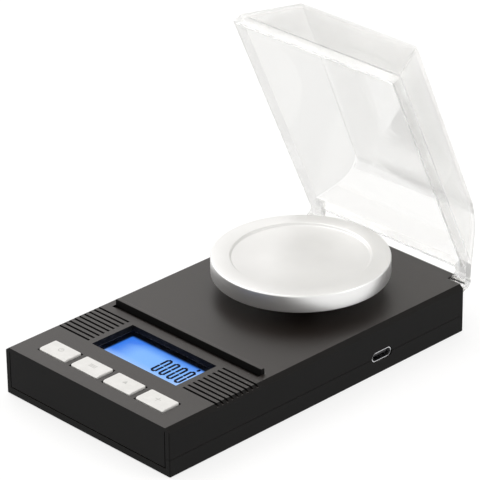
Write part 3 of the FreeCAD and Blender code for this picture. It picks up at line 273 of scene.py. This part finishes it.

# %% [markdown]
# ## Case plastic
# The covers are moulded in black ABS with a fine spark texture.  A flat black would look like a hole,
# so the grain breaks up the shine, and the deck, which is smoother than the walls, gets a thin satin
# coat that mirrors the tent.  The deck's base colour is also painted light: a little lighter and warmer
# than the walls' colour, on the same plastic.  The object's own normal tells the deck from the walls.

# %% Case plastic
def case_plastic():
    """Dull on the walls, with a satin coat and a lighter, warmer painted-light base colour where the
    surface faces up.
    """
    finish = Finish("textured black plastic", Specular_IOR_Level=0.07, Coat_Roughness=0.42,
                    Coat_IOR=1.55)
    up = finish.split(finish.facing()).out("Z")
    deck = finish.spread(up, 0.75, 0.95, 0.0, 1.0)
    cloud = finish.noise(60, 3)
    grain = finish.noise(5200, 3, 0.7)
    # painted light: the walls get a darker shaded copy and the deck a lighter, warmer lit copy of one
    # black
    shaded_wall_paint = finish.mix(cloud, (0.0048, 0.0047, 0.0047), (0.007, 0.0068, 0.0066))
    lit_deck_paint = finish.mix(cloud, (0.009, 0.0054, 0.0038), (0.012, 0.0076, 0.0056))
    speck = finish.spread(grain, 0.6, 0.8, 0.0, 0.5)
    colour = finish.mix(speck, finish.mix(deck, shaded_wall_paint, lit_deck_paint), (0.05, 0.043, 0.04))
    return finish.surface(Base_Color=colour, Roughness=0.5 + (grain - 0.5) * 0.2,
                          Coat_Weight=deck * (0.38 + grain * 0.9),
                          Normal=finish.bump(grain, 0.04 * MM, 0.6))


wear(case_plastic(), "top_cover", "bottom_cover")
print("case plastic on both covers")

# %% [markdown]
# ## Keys
# The caps are white ABS, moulded with a satin face.  Faint flow marks and a very light grain keep them
# from looking like paper.

# %% Key plastic
def key_plastic():
    """White with faint flow marks."""
    finish = Finish("white key plastic", Specular_IOR_Level=0.5, Subsurface_Weight=0.0)
    grain = finish.noise(2600, 4, 0.6)
    cloud = finish.noise(420, 2)
    colour = finish.mix(finish.spread(cloud, 0.3, 0.7, 0, 1), (0.66, 0.655, 0.64), (0.70, 0.695, 0.68))
    return finish.surface(Base_Color=colour, Roughness=0.38 + (grain - 0.5) * 0.2,
                          Normal=finish.bump(grain, 0.02 * MM, 0.5))


wear(key_plastic(), *(f"button_{number}" for number in (1, 2, 3, 4)))
print("key plastic on four caps")

# %% [markdown]
# ## Display
# A liquid crystal display is two sheets of glass with the crystal between them, lit from behind by a
# blue light guide.  The lit layer is the lower glass, which glows: palest in the middle, where the
# light spreads best, with painted shade towards the rear and the left end, first deeper blue, then dark
# where the window's frame shades it.

# %% Display materials
lcd_low, lcd_high = (Vector(corner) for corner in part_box("lcd_rear_glass"))
lcd_middle = (lcd_low + lcd_high) / 2
# The deeper blue and the near black here are painted shade colours for the rear and left edges of the
# lit area.
MID_BLUE, PAINTED_SHADE_BLUE, PALE_BLUE = (0.19, 0.46, 1.0), (0.04, 0.21, 0.86), (0.33, 0.55, 1.0)
PAINTED_FRAME_SHADE = (0.0008, 0.0008, 0.001)


def lit_layer():
    """Palest in the middle, with painted shade at the left and the rear: deeper blue, then dark where
    the frame shades it.
    """
    finish = Finish("lit crystal layer", Roughness=0.35, Base_Color=(0.004, 0.006, 0.01),
                    Emission_Strength=1.0)
    axes = finish.split(finish.place())
    across = (axes.out("X") - lcd_middle.x) / MM
    along = (axes.out("Y") - lcd_middle.y) / MM
    # Painted shade: towards the rear and the left, the glow turns deeper blue.
    rear = finish.spread(along, 3.0, 9.5, 0.0, 1.0)
    left = finish.spread(across, -8.0, -19.0, 0.0, 1.0)
    front = finish.spread(along, -1.0, -5.5, 0.0, 0.8)
    right = finish.spread(across, 10.0, 15.0, 0.0, 0.7)
    cloud = finish.noise(160, 2)
    painted_shade_share = finish.node("ShaderNodeClamp", None, rear + left + (cloud - 0.5) * 0.2, 0.0, 1.0)
    pale = finish.node("ShaderNodeClamp", None, front + right - rear * 0.5, 0.0, 1.0)
    colour = finish.mix(painted_shade_share, MID_BLUE, PAINTED_SHADE_BLUE)
    colour = finish.mix(pale, colour, PALE_BLUE)
    # Painted shade: dark bands at the rear and left edges, where the frame shades the lit layer.
    clear_of_rear_shade = finish.spread(along, 8.6, 7.2, 0.0, 1.0)
    clear_of_left_shade = finish.spread(across, -19.2, -18.0, 0.0, 1.0)
    return finish.surface(Emission_Color=finish.mix(clear_of_rear_shade * clear_of_left_shade, PAINTED_FRAME_SHADE, colour))


def clear_glass():
    """Clear straight through, with a gloss that grows towards the edge of sight."""
    finish = Finish("display glass", Base_Color=(0.0, 0.0, 0.0), Specular_IOR_Level=0.5)
    smear = finish.noise(90, 4, 0.6)
    finish.surface(Roughness=finish.spread(smear, 0.4, 0.8, 0.05, 0.16))
    gloss = finish.node("ShaderNodeFresnel", None, 1.3)
    return finish.partly_clear(1 - gloss * 0.5)


wear(lit_layer(), "lcd_rear_glass")
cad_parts["lcd_rear_glass"].visible_glossy = False
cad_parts["lcd_rear_glass"].visible_diffuse = False
wear(clear_glass(), "lcd_front_glass")
print("lit area:", [round(v / MM, 2) for v in lcd_high - lcd_low], "mm")

# %% [markdown]
# The digits are dark shapes in the crystal layer, four noughts and a small mark for the unit.
# They could be a texture, but a shape keeps its crisp edge at any size: each digit is seven possible
# bars, and a nought lights all but the middle one.

# %% Digits
DIGIT_HIGH, DIGIT_WIDE, DIGIT_PITCH = 8.9 * MM, 2.6 * MM, 3.55 * MM
BAR = 0.9 * MM
BAR_GAP, BAR_POINT = 0.1, 0.5        # shares of half a bar's width
LEAN = -0.03                         # sideways shift per height
DIGITS_FROM = Vector((lcd_middle.x + 1.1 * MM, lcd_middle.y - 3.3 * MM, lcd_high.z + 0.05 * MM))


def bar_outline(start, end, wide):
    """A pointed bar between two points, as on any seven-bar digit."""
    along = (end - start).normalized()
    across = Vector((-along.y, along.x))
    point = along * wide / 2
    side = across * wide / 2
    start, end = start + point * BAR_GAP, end - point * BAR_GAP
    near, far = start + point * BAR_POINT, end - point * BAR_POINT
    return [start, near + side, far + side, end, far - side, near - side]


def nought_bars():
    """The six lit bars of a nought, as corner pairs in the digit's own frame."""
    left, right = BAR / 2, DIGIT_WIDE - BAR / 2
    low, middle, high = BAR / 2, DIGIT_HIGH / 2, DIGIT_HIGH - BAR / 2
    corners = [(left, low), (right, low), (right, middle), (right, high), (left, high), (left, middle)]
    return [(Vector(a), Vector(b)) for a, b in zip(corners, corners[1:] + corners[:1])]


print("bars in a nought:", len(nought_bars()))


# %% Thin pieces and the digits' shapes
def thin_piece(name, outlines, origin, thickness):
    """Flat shapes on one level, raised by a thickness: outlines are lists of 2-D points."""
    builder = bmesh.new()
    for shape in outlines:
        builder.faces.new([builder.verts.new(origin + Vector((p[0], p[1], 0))) for p in shape])
    solid = bmesh.ops.extrude_face_region(builder, geom=builder.faces[:])
    raised = [v for v in solid["geom"] if isinstance(v, bmesh.types.BMVert)]
    bmesh.ops.translate(builder, verts=raised, vec=(0, 0, thickness))
    bmesh.ops.recalc_face_normals(builder, faces=builder.faces[:])
    mesh = bpy.data.meshes.new(name)
    builder.to_mesh(mesh)
    builder.free()
    piece = bpy.data.objects.new(name, mesh)
    bpy.context.scene.collection.objects.link(piece)
    return piece


def digit_outlines():
    """Four leaning noughts and a six-sided mark above the last."""
    shapes = []
    for count in range(4):
        for start, end in nought_bars():
            shapes.append([(c.x + c.y * LEAN + count * DIGIT_PITCH, c.y)
                           for c in bar_outline(start, end, BAR)])
    mark = [(11.5, 9.7), (12.1, 9.6), (12.4, 10.2), (12.3, 11.0), (11.6, 11.1), (11.3, 10.3)]
    return shapes + [[(x * MM, y * MM) for x, y in mark]]


print("digit shapes:", len(digit_outlines()))


# %% Crystal ink
def crystal_ink():
    """Near black with a trace of blue."""
    finish = Finish("dark crystal", Specular_IOR_Level=0.1)
    cloud = finish.noise(500, 2)
    return finish.surface(Base_Color=finish.mix(cloud, (0.001, 0.002, 0.012), (0.004, 0.006, 0.03)),
                          Roughness=0.5 + cloud * 0.2)


digit_piece = thin_piece("digits", digit_outlines(), DIGITS_FROM, 0.04 * MM)
digit_piece.data.materials.append(crystal_ink().material)
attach(digit_piece, "case")
print("digits:", len(digit_piece.data.polygons), "faces")

# %% [markdown]
# ## Marks on the keys and contacts in the socket
# The caps carry a faint grey print.  Here it is four plain signs with no lettering, each a hair-thin
# inlay that rides on its own key.  The socket's tongue carries a row of gold strips that touch the plug,
# made the same way.

# %% Key marks
SIGN_LINE = 0.3 * MM
SIGN_RAISED, SIGN_SUNK, SIGN_BACK = 0.035 * MM, 0.03 * MM, 0.4 * MM


def round_outline(radius, sides=28, turn=0.0):
    """A regular outline about the middle; three sides make a triangle."""
    angles = [turn + 2 * math.pi * i / sides for i in range(sides)]
    return [(radius * math.cos(a), radius * math.sin(a)) for a in angles]


def ring_outlines(radius, wide, sides=28):
    """A ring as a row of four-cornered pieces."""
    out, inside = round_outline(radius, sides), round_outline(radius - wide, sides)
    return [[out[i], out[(i + 1) % sides], inside[(i + 1) % sides], inside[i]] for i in range(sides)]


def strip(x0, x1, y0, y1):
    """A rectangle, given in millimetres."""
    return [(x * MM, y * MM) for x, y in ((x0, y0), (x1, y0), (x1, y1), (x0, y1))]


RING_SIGN = ring_outlines(1.05 * MM, SIGN_LINE) + [strip(-0.15, 0.15, -0.05, 0.65)]
LINES_SIGN = [strip(-1.5, 1.5, y, y + 0.3) for y in (-0.75, -0.15, 0.45)]
TRIANGLE_SIGN = [round_outline(1.1 * MM, 3, math.pi / 2)]
CROSS_SIGN = [strip(-1.2, 1.2, -0.15, 0.15), strip(-0.15, 0.15, 0.15, 1.2),
              strip(-0.15, 0.15, -1.2, -0.15)]
SIGNS = [RING_SIGN, LINES_SIGN, TRIANGLE_SIGN, CROSS_SIGN]
print("shapes in each sign:", [len(sign) for sign in SIGNS])


# %% Print on the keys
def grey_print():
    """Faint grey ink, worn a little unevenly."""
    finish = Finish("grey print")
    cloud = finish.noise(1500, 3)
    return finish.surface(Base_Color=finish.mix(cloud, (0.40, 0.40, 0.39), (0.55, 0.55, 0.53)),
                          Roughness=0.45 + cloud * 0.15)


print_finish = grey_print()
for number, sign in enumerate(SIGNS, 1):
    low, high = (Vector(corner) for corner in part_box(f"button_{number}"))
    middle = Vector(((low.x + high.x) / 2, (low.y + high.y) / 2 + SIGN_BACK, high.z - SIGN_SUNK))
    mark = thin_piece(f"key_sign_{number}", sign, middle, SIGN_RAISED)
    mark.data.materials.append(print_finish.material)
    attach(mark, f"key_{number}")
print("key signs:", len(SIGNS))


# %% Socket contacts
CONTACTS, CONTACT_PITCH, CONTACT_HALF = 11, 0.5, 0.12      # the last two in millimetres


def gold():
    """Gold plating, brushed along the strip by the plug."""
    finish = Finish("gold contact", Metallic=1.0)
    wear_line = finish.noise(1500, 3, at=finish.stretched(0.1, 1, 1))
    return finish.surface(Base_Color=finish.mix(wear_line, (0.85, 0.58, 0.22), (0.95, 0.72, 0.36)),
                          Roughness=0.22 + wear_line * 0.15)


tongue_low, tongue_high = (Vector(corner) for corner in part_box("usb_tongue"))
along_tongue = (tongue_low.x / MM + 1.2, tongue_high.x / MM - 0.4)
middles = [(tongue_low.y + tongue_high.y) / 2 / MM + (i - CONTACTS // 2) * CONTACT_PITCH
           for i in range(CONTACTS)]
strips = [strip(*along_tongue, y - CONTACT_HALF, y + CONTACT_HALF) for y in middles]
contacts = thin_piece("socket_contacts", strips, Vector((0, 0, tongue_high.z - 0.02 * MM)), 0.05 * MM)
contacts.data.materials.append(gold().material)
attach(contacts, "case")
print("contacts:", len(strips))

# %% [markdown]
# ## Weighing pan
# The pan is a thin metal pressing, turned and satin-blasted: a flat rim, a soft step down into a wide
# dish, a rounded outer edge and a short skirt.  A turned shape is one profile spun round an axis, which
# gives cleaner shading than any block cut down to size.

# %% Pan profile
pan_low, pan_high = (Vector(corner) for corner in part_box("weighing_pan"))
PAN_RADIUS = (pan_high.x - pan_low.x) / 2
PAN_HEIGHT = pan_high.z - pan_low.z
PAN_CENTRE = Vector(((pan_low.x + pan_high.x) / 2, (pan_low.y + pan_high.y) / 2, pan_low.z))
SHEET = 1.0 * MM
DISH_EDGE, DISH_DEPTH, DISH_SLOPE = 23.5 * MM, 0.7 * MM, 0.9 * MM
EDGE_ROUND, LIP_ROUND = 0.45 * MM, 0.3 * MM


def arc(x, y, radius, start, end, steps):
    """Points on an arc about (x, y), angles in degrees."""
    angles = [math.radians(start + (end - start) * i / steps) for i in range(steps + 1)]
    return [(x + radius * math.cos(a), y + radius * math.sin(a)) for a in angles]


def soft_step(x0, x1, y0, y1, steps=10):
    """An S-shaped rise from one level to another."""
    shares = [i / steps for i in range(steps + 1)]
    return [(x0 + (x1 - x0) * s, y0 + (y1 - y0) * s * s * (3 - 2 * s)) for s in shares]


def pan_profile():
    """Radius and height, from the middle of the dish out over the edge and back underneath."""
    floor = PAN_HEIGHT - DISH_DEPTH
    inner = PAN_RADIUS - SHEET
    outside = [(0, floor), (0.5 * DISH_EDGE, floor)]
    outside += soft_step(DISH_EDGE - DISH_SLOPE, DISH_EDGE, floor, PAN_HEIGHT)
    outside += arc(PAN_RADIUS - EDGE_ROUND, PAN_HEIGHT - EDGE_ROUND, EDGE_ROUND, 90, 0, 10)
    outside += arc(PAN_RADIUS - LIP_ROUND, LIP_ROUND, LIP_ROUND, 0, -90, 5)
    underside = arc(inner + 0.3 * MM, 0.3 * MM, 0.3 * MM, -90, -180, 4)
    underside += arc(inner - 0.5 * MM, PAN_HEIGHT - SHEET - 0.5 * MM, 0.5 * MM, 0, 90, 5)
    underside += soft_step(DISH_EDGE + 0.5 * MM, DISH_EDGE - 0.6 * MM, PAN_HEIGHT - SHEET, floor - SHEET)
    ring = [(14.2, 0), (14.2, -1.4), (13.2, -1.4), (13.2, 0)]
    underside += [(r * MM, floor - SHEET + z * MM) for r, z in ring]
    return outside + underside + [(0, floor - SHEET)]


def spun(name, profile, centre, around=240):
    """A closed profile spun round the upright axis through centre."""
    builder = bmesh.new()
    points = [builder.verts.new((radius, 0, height)) for radius, height in profile]
    edges = [builder.edges.new(pair) for pair in zip(points, points[1:])]
    bmesh.ops.spin(builder, geom=points + edges, cent=(0, 0, 0), axis=(0, 0, 1),
                   angle=2 * math.pi, steps=around, use_duplicate=False)
    bmesh.ops.remove_doubles(builder, verts=builder.verts[:], dist=0.001 * MM)
    bmesh.ops.recalc_face_normals(builder, faces=builder.faces[:])
    for face in builder.faces:
        face.smooth = True
    mesh = bpy.data.meshes.new(name)
    builder.to_mesh(mesh)
    builder.free()
    mesh.set_sharp_from_angle(angle=math.radians(40))
    piece = bpy.data.objects.new(name, mesh)
    piece.location = centre
    bpy.context.scene.collection.objects.link(piece)
    return piece


pan = spun("pan", pan_profile(), PAN_CENTRE)
print("pan profile:", len(pan_profile()), "points")


# %% Pan metal
def satin_metal():
    """Blasted aluminium: fine concentric tool marks under an even satin."""
    finish = Finish("satin pan metal", Metallic=1.0)
    flat = finish.node("ShaderNodeVectorMath", {"operation": "MULTIPLY"}, finish.place(), (1, 1, 0))
    radius = finish.node("ShaderNodeVectorMath", {"operation": "LENGTH"}, flat)
    grain = finish.noise(2500, 4, 0.65)
    rings = finish.node("ShaderNodeCombineXYZ", None, radius * 3500, 0.0, 0.0)
    streak = finish.noise(1.0, 2, 0.5, at=rings)
    cloud = finish.noise(45, 3)
    colour = finish.mix(finish.spread(cloud, 0.3, 0.7, 0, 1), (0.82, 0.82, 0.815), (0.86, 0.86, 0.855))
    rough = 0.34 + (grain - 0.5) * 0.12 + (streak - 0.5) * 0.06
    return finish.surface(Base_Color=colour, Roughness=rough,
                          Normal=finish.bump(grain * 0.7 + streak * 0.3, 0.02 * MM, 0.35))


pan.data.materials.append(satin_metal().material)
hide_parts("weighing_pan")
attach(pan, "pan")
print("pan:", len(pan.data.polygons), "faces, radius", round(PAN_RADIUS * 1000, 2), "mm")

# %% [markdown]
# ## Clear hood
# The hood is injection moulded in clear polystyrene about a millimetre thick.  It reads by its edges:
# the flat walls only grey what is behind them a little, while the folds and the rim bend the light and
# draw thin grey lines.  Refracting plastic alone draws those lines dark and hard, so about half of the
# light goes straight through and half is bent.  The plastic is the same all round on the real hood; here
# the broad top and the left wall are tinted a little more, to stand for the soft shading that a
# studio's cards and lamps give a clear product.

# %% Hood plastic
HOOD_OPEN = math.radians(65.8)                       # how far the hood stands open at rest
CLEAR_SHARE, CLEAR_TINT = 0.5, (0.94, 0.94, 0.935)   # the light that goes straight through


def hood_plastic():
    """The broad top and the left wall carry a painted shade, a little greyer than the front and right
    walls.
    """
    finish = Finish("clear hood plastic", Transmission_Weight=1.0, IOR=1.49, Roughness=0.0)
    lean = finish.node("ShaderNodeVectorMath", {"operation": "DOT_PRODUCT"}, finish.facing(),
                       (0.0, math.sin(HOOD_OPEN), math.cos(HOOD_OPEN)))
    axes = finish.split(finish.facing())
    sideways, upward = axes.out("X"), axes.out("Z")
    top = finish.spread(lean * lean, 0.81, 0.94, 0.0, 1.0)
    front = finish.spread(upward * upward, 0.85, 0.95, 0.0, 1.0)
    left_half = finish.spread(finish.split(finish.place()).out("X"), 5 * MM, -5 * MM, 0.0, 1.0)
    left = finish.spread(sideways * sideways, 0.25, 0.45, 0.0, 1.0) * left_half
    # Painted shade: the broad top and the left wall are tinted greyer, standing for studio shading on
    # one clear plastic.
    grey = finish.node("ShaderNodeClamp", None, top + left, 0.0, 1.0)
    haze = finish.noise(14, 3)
    wall = finish.mix(haze, (0.95, 0.95, 0.945), (0.98, 0.98, 0.975))
    broad = finish.mix(haze, (0.74, 0.74, 0.73), (0.78, 0.78, 0.77))
    finish.surface(Base_Color=finish.mix(grey, wall, broad))
    return finish.partly_clear(CLEAR_SHARE + grey * 0.2 - front * 0.25, CLEAR_TINT)


wear(hood_plastic(), "lid")
print("hood wall faces:", len(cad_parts["lid"].data.polygons))

# %% [markdown]
# ## Metals, rubber and boards
# The smaller parts each get their own finish, even where the case hides them, because the case can be
# opened in another scene.

# %% Plated steel, sprung sheet, socket metal, milled beam and foil
def metal(name, low, high, rough, grain_scale=1800, stretch=(1, 1, 1), depth=0.01):
    """A metal whose colour and shine wander between two greys along a chosen direction."""
    finish = Finish(name, Metallic=1.0)
    line = finish.noise(grain_scale, 4, 0.6, at=finish.stretched(*stretch))
    cloud = finish.noise(120, 3)
    colour = finish.mix(cloud, low, high)
    return finish.surface(Base_Color=colour, Roughness=rough + (line - 0.5) * 0.2,
                          Normal=finish.bump(line, depth * MM, 0.4))


wear(metal("zinc plated steel", (0.5, 0.51, 0.53), (0.66, 0.66, 0.64), 0.3),
     "case_screws", "board_screws", "load_cell_screws", "post_screw", "overload_screw")
wear(metal("hinge steel", (0.6, 0.6, 0.6), (0.72, 0.72, 0.71), 0.25, stretch=(0.05, 1, 1)), "hinge_pin")
wear(metal("socket metal", (0.55, 0.56, 0.58), (0.75, 0.75, 0.76), 0.22, stretch=(0.1, 1, 1)),
     "usb_shell", "clock_crystal")
wear(metal("milled aluminium", (0.66, 0.67, 0.69), (0.78, 0.79, 0.8), 0.35, stretch=(1, 0.05, 1)),
     "load_cell")
wear(metal("sprung sheet", (0.6, 0.57, 0.5), (0.75, 0.73, 0.68), 0.3), "switch_domes")
wear(metal("pouch foil", (0.6, 0.61, 0.62), (0.8, 0.8, 0.82), 0.3, grain_scale=350, depth=0.15),
     "battery_cell")
print("materials so far:", len(bpy.data.materials))


# %% Plastics and rubber
def moulded(name, low, high, rough, grain_scale=2400, depth=0.02):
    """A plain moulded plastic or rubber with a fine grain."""
    finish = Finish(name)
    grain = finish.noise(grain_scale, 3, 0.6)
    cloud = finish.noise(200, 2)
    return finish.surface(Base_Color=finish.mix(cloud, low, high),
                          Roughness=rough + (grain - 0.5) * 0.2,
                          Normal=finish.bump(grain, depth * MM, 0.5))


wear(moulded("black rubber", (0.012, 0.012, 0.012), (0.03, 0.03, 0.03), 0.75, 1500, 0.06),
     "rubber_feet", "contact_strip")
wear(moulded("black epoxy", (0.012, 0.012, 0.013), (0.03, 0.03, 0.032), 0.55, 3500),
     "controller_chip", "converter_chip", "charge_chip", "usb_tongue", "switch_housings",
     *(f"switch_plunger_{number}" for number in (1, 2, 3, 4)))
wear(moulded("black nylon", (0.01, 0.01, 0.01), (0.022, 0.021, 0.02), 0.5), "pan_support")
wear(moulded("white moulding", (0.68, 0.68, 0.66), (0.78, 0.78, 0.76), 0.45), "lcd_frame")
wear(moulded("foam", (0.03, 0.03, 0.03), (0.09, 0.09, 0.09), 0.95, 900, 0.25),
     "window_gasket", "battery_pad")
print("materials so far:", len(bpy.data.materials))


# %% Light guide, boards, gauges and wires
def light_guide():
    """Rows of pale dots spread the light."""
    finish = Finish("blue light guide", Emission_Strength=0.8, Roughness=0.4)
    dots = finish.node("ShaderNodeTexVoronoi", {"feature": "F1"}, Vector=finish.place(), Scale=900)
    pale = finish.spread(dots, 0.1, 0.5, 0.0, 1.0)
    return finish.surface(Base_Color=finish.mix(pale, (0.3, 0.5, 0.9), (0.7, 0.8, 1.0)),
                          Emission_Color=finish.mix(pale, (0.3, 0.55, 1.0), (0.08, 0.25, 1.0)))


def lacquered_board():
    """Green lacquer over raised tracks."""
    finish = Finish("green board")
    tracks = finish.node("ShaderNodeTexBrick", {"offset": 0.5}, Vector=finish.stretched(420, 420, 420),
                         Color1=(1.0, 1.0, 1.0), Color2=(0.0, 0.0, 0.0), Mortar=(0.5, 0.5, 0.5),
                         Scale=1.0, Mortar_Size=0.06)
    track = finish.node("ShaderNodeRGBToBW", None, tracks)
    grain = finish.noise(1800, 3)
    colour = finish.mix(track, (0.006, 0.07, 0.03), (0.012, 0.13, 0.055))
    return finish.surface(Base_Color=colour, Roughness=0.3 + grain * 0.15,
                          Normal=finish.bump(track, 0.03 * MM, 0.6))


def gauge_film():
    """Amber film with a fine foil grid."""
    finish = Finish("amber gauge film")
    lines = finish.node("ShaderNodeTexWave", {"wave_type": "BANDS", "bands_direction": "X"},
                        Vector=finish.place(), Scale=500, Distortion=0.0)
    foil = finish.spread(lines, 0.45, 0.55, 0.0, 1.0)
    return finish.surface(Base_Color=finish.mix(foil, (0.55, 0.3, 0.06), (0.62, 0.56, 0.42)),
                          Metallic=foil * 0.8, Roughness=0.4 - foil * 0.1)


def wire_jacket(name, low, high):
    """Smooth insulation with a faint cloud in its colour."""
    finish = Finish(name)
    cloud = finish.noise(300, 2)
    grain = finish.noise(4000, 2)
    return finish.surface(Base_Color=finish.mix(cloud, low, high), Roughness=0.4 + grain * 0.15,
                          Normal=finish.bump(grain, 0.01 * MM, 0.4))


wear(light_guide(), "lcd_backlight")
wear(lacquered_board(), "main_board", "charge_board")
wear(gauge_film(), "strain_gauges")
wear(wire_jacket("red wire", (0.3, 0.01, 0.008), (0.42, 0.02, 0.012)), "battery_leads", "charge_leads")
wear(wire_jacket("white wire", (0.6, 0.6, 0.58), (0.72, 0.72, 0.7)), "cell_leads")
plain = [name for name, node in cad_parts.items() if not node.data.materials]
print("nodes without a finish:", plain)
